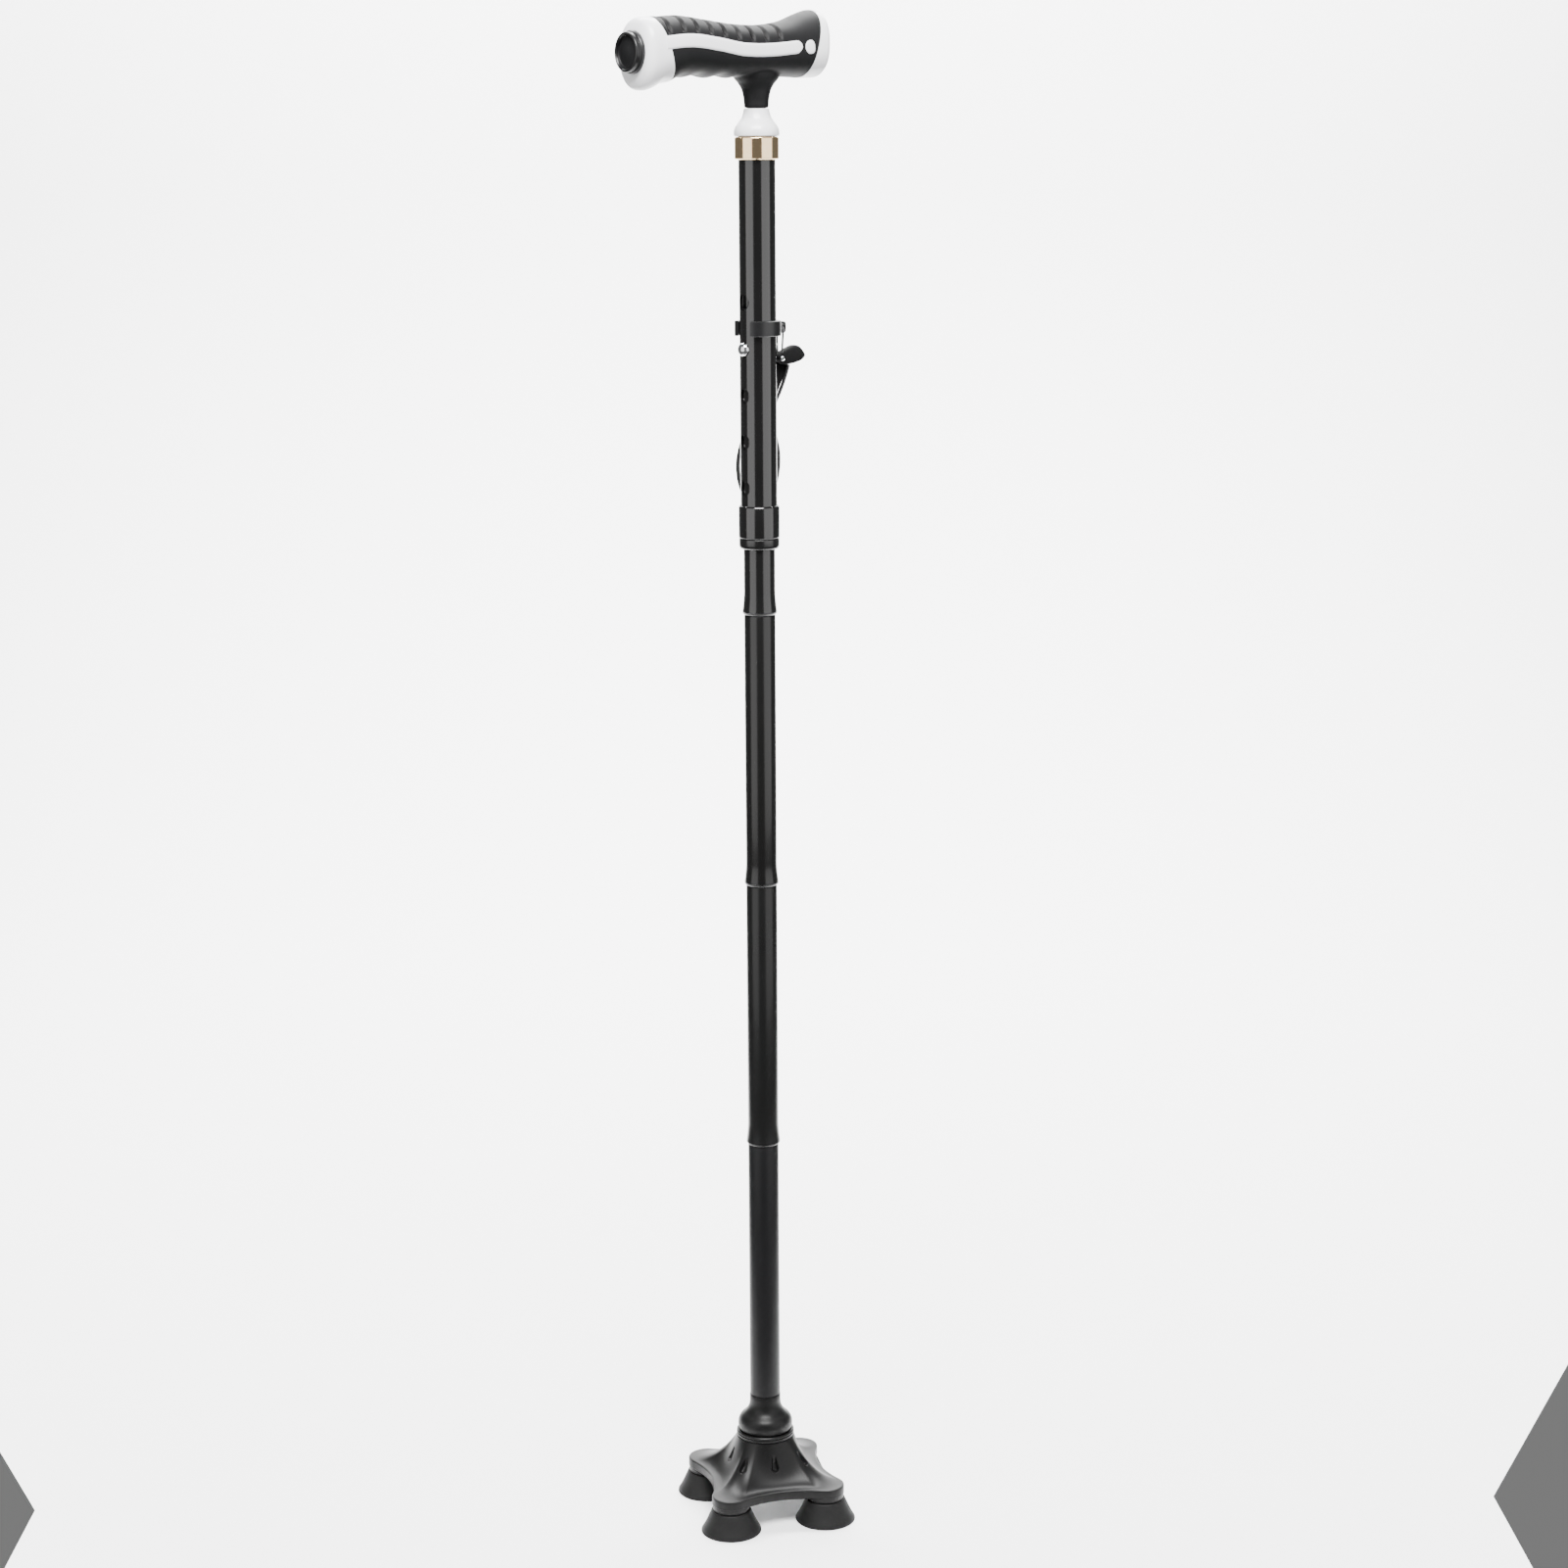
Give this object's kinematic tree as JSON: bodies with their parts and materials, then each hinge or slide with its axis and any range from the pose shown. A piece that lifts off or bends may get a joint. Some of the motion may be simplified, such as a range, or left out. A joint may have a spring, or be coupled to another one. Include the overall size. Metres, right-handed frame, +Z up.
{
  "type": "quad walking cane",
  "caption": "Folding, height-adjustable walking cane with a shaped T handle, wrist strap, twist lock and a pivoting base on rubber cup feet.",
  "frame": {"origin": "centre of the footprint box, at floor level under the feet", "axes": "+Z up along the tubes, X along the handle with its rear end at +X, Y across the handle"},
  "size_m": [0.1522, 0.1182, 0.935],
  "materials": {
    "white_abs": "moulded satin gloss",
    "grip_rubber": "soft-touch moulded",
    "black_nylon": "moulded satin",
    "circuit_board": "solder mask",
    "steel": "plated",
    "gilt": "polished, plated",
    "gloss_black_tube": "gloss black anodised and lacquered aluminium",
    "chrome": "polished",
    "strap_webbing": "woven",
    "strap_cord": "braided",
    "shock_cord": "braided elastic",
    "base_nylon": "moulded satin",
    "foot_rubber": "moulded matt",
    "acetal": "turned"
  },
  "bodies": {
    "handle": {"handle_core": "white_abs", "grip_cover": "grip_rubber", "rear_cap": "white_abs", "button_bezel": "black_nylon", "switch_board": "circuit_board", "button_cells": "steel", "cell_contact": "gilt", "light_board": "circuit_board", "handle_stem": "black_nylon", "neck_collar": "white_abs", "ferrule": "gilt", "outer_tube": "gloss_black_tube", "collet": "black_nylon", "strap_clip": "black_nylon"},
    "end_button": {"end_button": "grip_rubber"},
    "side_button": {"side_button": "white_abs"},
    "lock_nut": {"lock_nut": "gloss_black_tube"},
    "strap": {"strap_cord": "strap_cord", "strap_end": "strap_webbing", "wrist_strap": "strap_webbing"},
    "inner_tube": {"inner_tube": "gloss_black_tube", "top_plug": "black_nylon", "v_spring": "steel", "shock_cord_1": "shock_cord", "socket_bush_1": "black_nylon"},
    "snap_front": {"snap_button_front": "chrome"},
    "snap_rear": {"snap_button_rear": "chrome"},
    "section_2": {"section_2_tube": "gloss_black_tube", "joint_plug_1": "black_nylon", "cord_bridge_1": "shock_cord", "shock_cord_2": "shock_cord", "socket_bush_2": "black_nylon"},
    "section_3": {"section_3_tube": "gloss_black_tube", "joint_plug_2": "black_nylon", "cord_bridge_2": "shock_cord", "shock_cord_3": "shock_cord", "socket_bush_3": "black_nylon"},
    "section_4": {"section_4_tube": "gloss_black_tube", "joint_plug_3": "black_nylon", "cord_bridge_3": "shock_cord", "shock_cord_4": "shock_cord", "cord_anchor": "black_nylon", "ankle": "black_nylon", "pivot_washer": "steel", "pivot_screw": "steel"},
    "pivot_cushion": {"pivot_cushion": "foot_rubber"},
    "pivot_cup": {"pivot_cup": "acetal"},
    "base": {"base_body": "base_nylon", "base_ring": "base_nylon", "bottom_plate": "steel", "foot_1": "foot_rubber", "foot_2": "foot_rubber", "foot_3": "foot_rubber", "foot_4": "foot_rubber", "foot_screw_1": "steel", "foot_screw_2": "steel", "foot_screw_3": "steel", "foot_screw_4": "steel"}
  },
  "joints": [
    {"name": "end_button_press", "type": "slide", "parent": "handle", "child": "end_button", "axis": [1, 0, 0], "range_m": [0, 0.002], "stiffness_N_per_m": 900, "springref_m": -0.001},
    {"name": "side_button_press", "type": "slide", "parent": "handle", "child": "side_button", "axis": [0, 1, 0], "range_m": [0, 0.0008], "stiffness_N_per_m": 1200, "springref_m": -0.001},
    {"name": "lock_nut_turn", "type": "hinge", "parent": "handle", "child": "lock_nut", "pos_m": [0.01689, 0, 0.632], "axis": [0, 0, 1], "range_deg": [0, 360]},
    {"name": "strap_swing", "type": "hinge", "parent": "handle", "child": "strap", "pos_m": [0.03389, 0, 0.751], "axis": [0, -1, 0], "range_deg": [0, 100]},
    {"name": "height_adjust", "type": "slide", "parent": "handle", "child": "inner_tube", "axis": [0, 0, -1], "range_m": [-0.0275, 0.0825], "deforming": ["snap_button_front", "snap_button_rear", "v_spring"]},
    {"name": "snap_front_press", "type": "slide", "parent": "inner_tube", "child": "snap_front", "axis": [1, 0, 0], "range_m": [0, 0.0035], "stiffness_N_per_m": 1500, "springref_m": -0.001},
    {"name": "snap_rear_press", "type": "slide", "parent": "inner_tube", "child": "snap_rear", "axis": [-1, 0, 0], "range_m": [0, 0.0035], "stiffness_N_per_m": 1500, "springref_m": -0.001},
    {"name": "fold_1", "type": "hinge", "parent": "inner_tube", "child": "section_2", "pos_m": [0.01689, -0.013, 0.5811], "axis": [-1, 0, 0], "range_deg": [0, 180], "stiffness_Nm_per_rad": 0.3, "springref_deg": -57.3, "deforming": ["cord_bridge_1"]},
    {"name": "fold_2", "type": "hinge", "parent": "section_2", "child": "section_3", "pos_m": [0.01689, 0.013, 0.4128], "axis": [1, 0, 0], "range_deg": [0, 180], "deforming": ["cord_bridge_2"]},
    {"name": "fold_3", "type": "hinge", "parent": "section_3", "child": "section_4", "pos_m": [0.01689, -0.013, 0.2457], "axis": [-1, 0, 0], "range_deg": [0, 180], "deforming": ["cord_bridge_3"]},
    {"name": "base_tilt_side", "type": "hinge", "parent": "section_4", "child": "pivot_cushion", "pos_m": [0.01689, 0, 0.0575], "axis": [1, 0, 0], "range_deg": [-8, 8], "stiffness_Nm_per_rad": 20},
    {"name": "base_tilt_front", "type": "hinge", "parent": "pivot_cushion", "child": "pivot_cup", "pos_m": [0.01689, 0, 0.0575], "axis": [0, 1, 0], "range_deg": [-8, 8], "stiffness_Nm_per_rad": 20},
    {"name": "base_turn", "type": "hinge", "parent": "pivot_cup", "child": "base", "pos_m": [0.01689, 0, 0.0575], "axis": [0, 0, 1], "continuous": true}
  ],
  "couplings": [
    {"joint": "fold_2", "follows": "fold_1", "ratio": 1},
    {"joint": "fold_3", "follows": "fold_1", "ratio": 1}
  ]
}
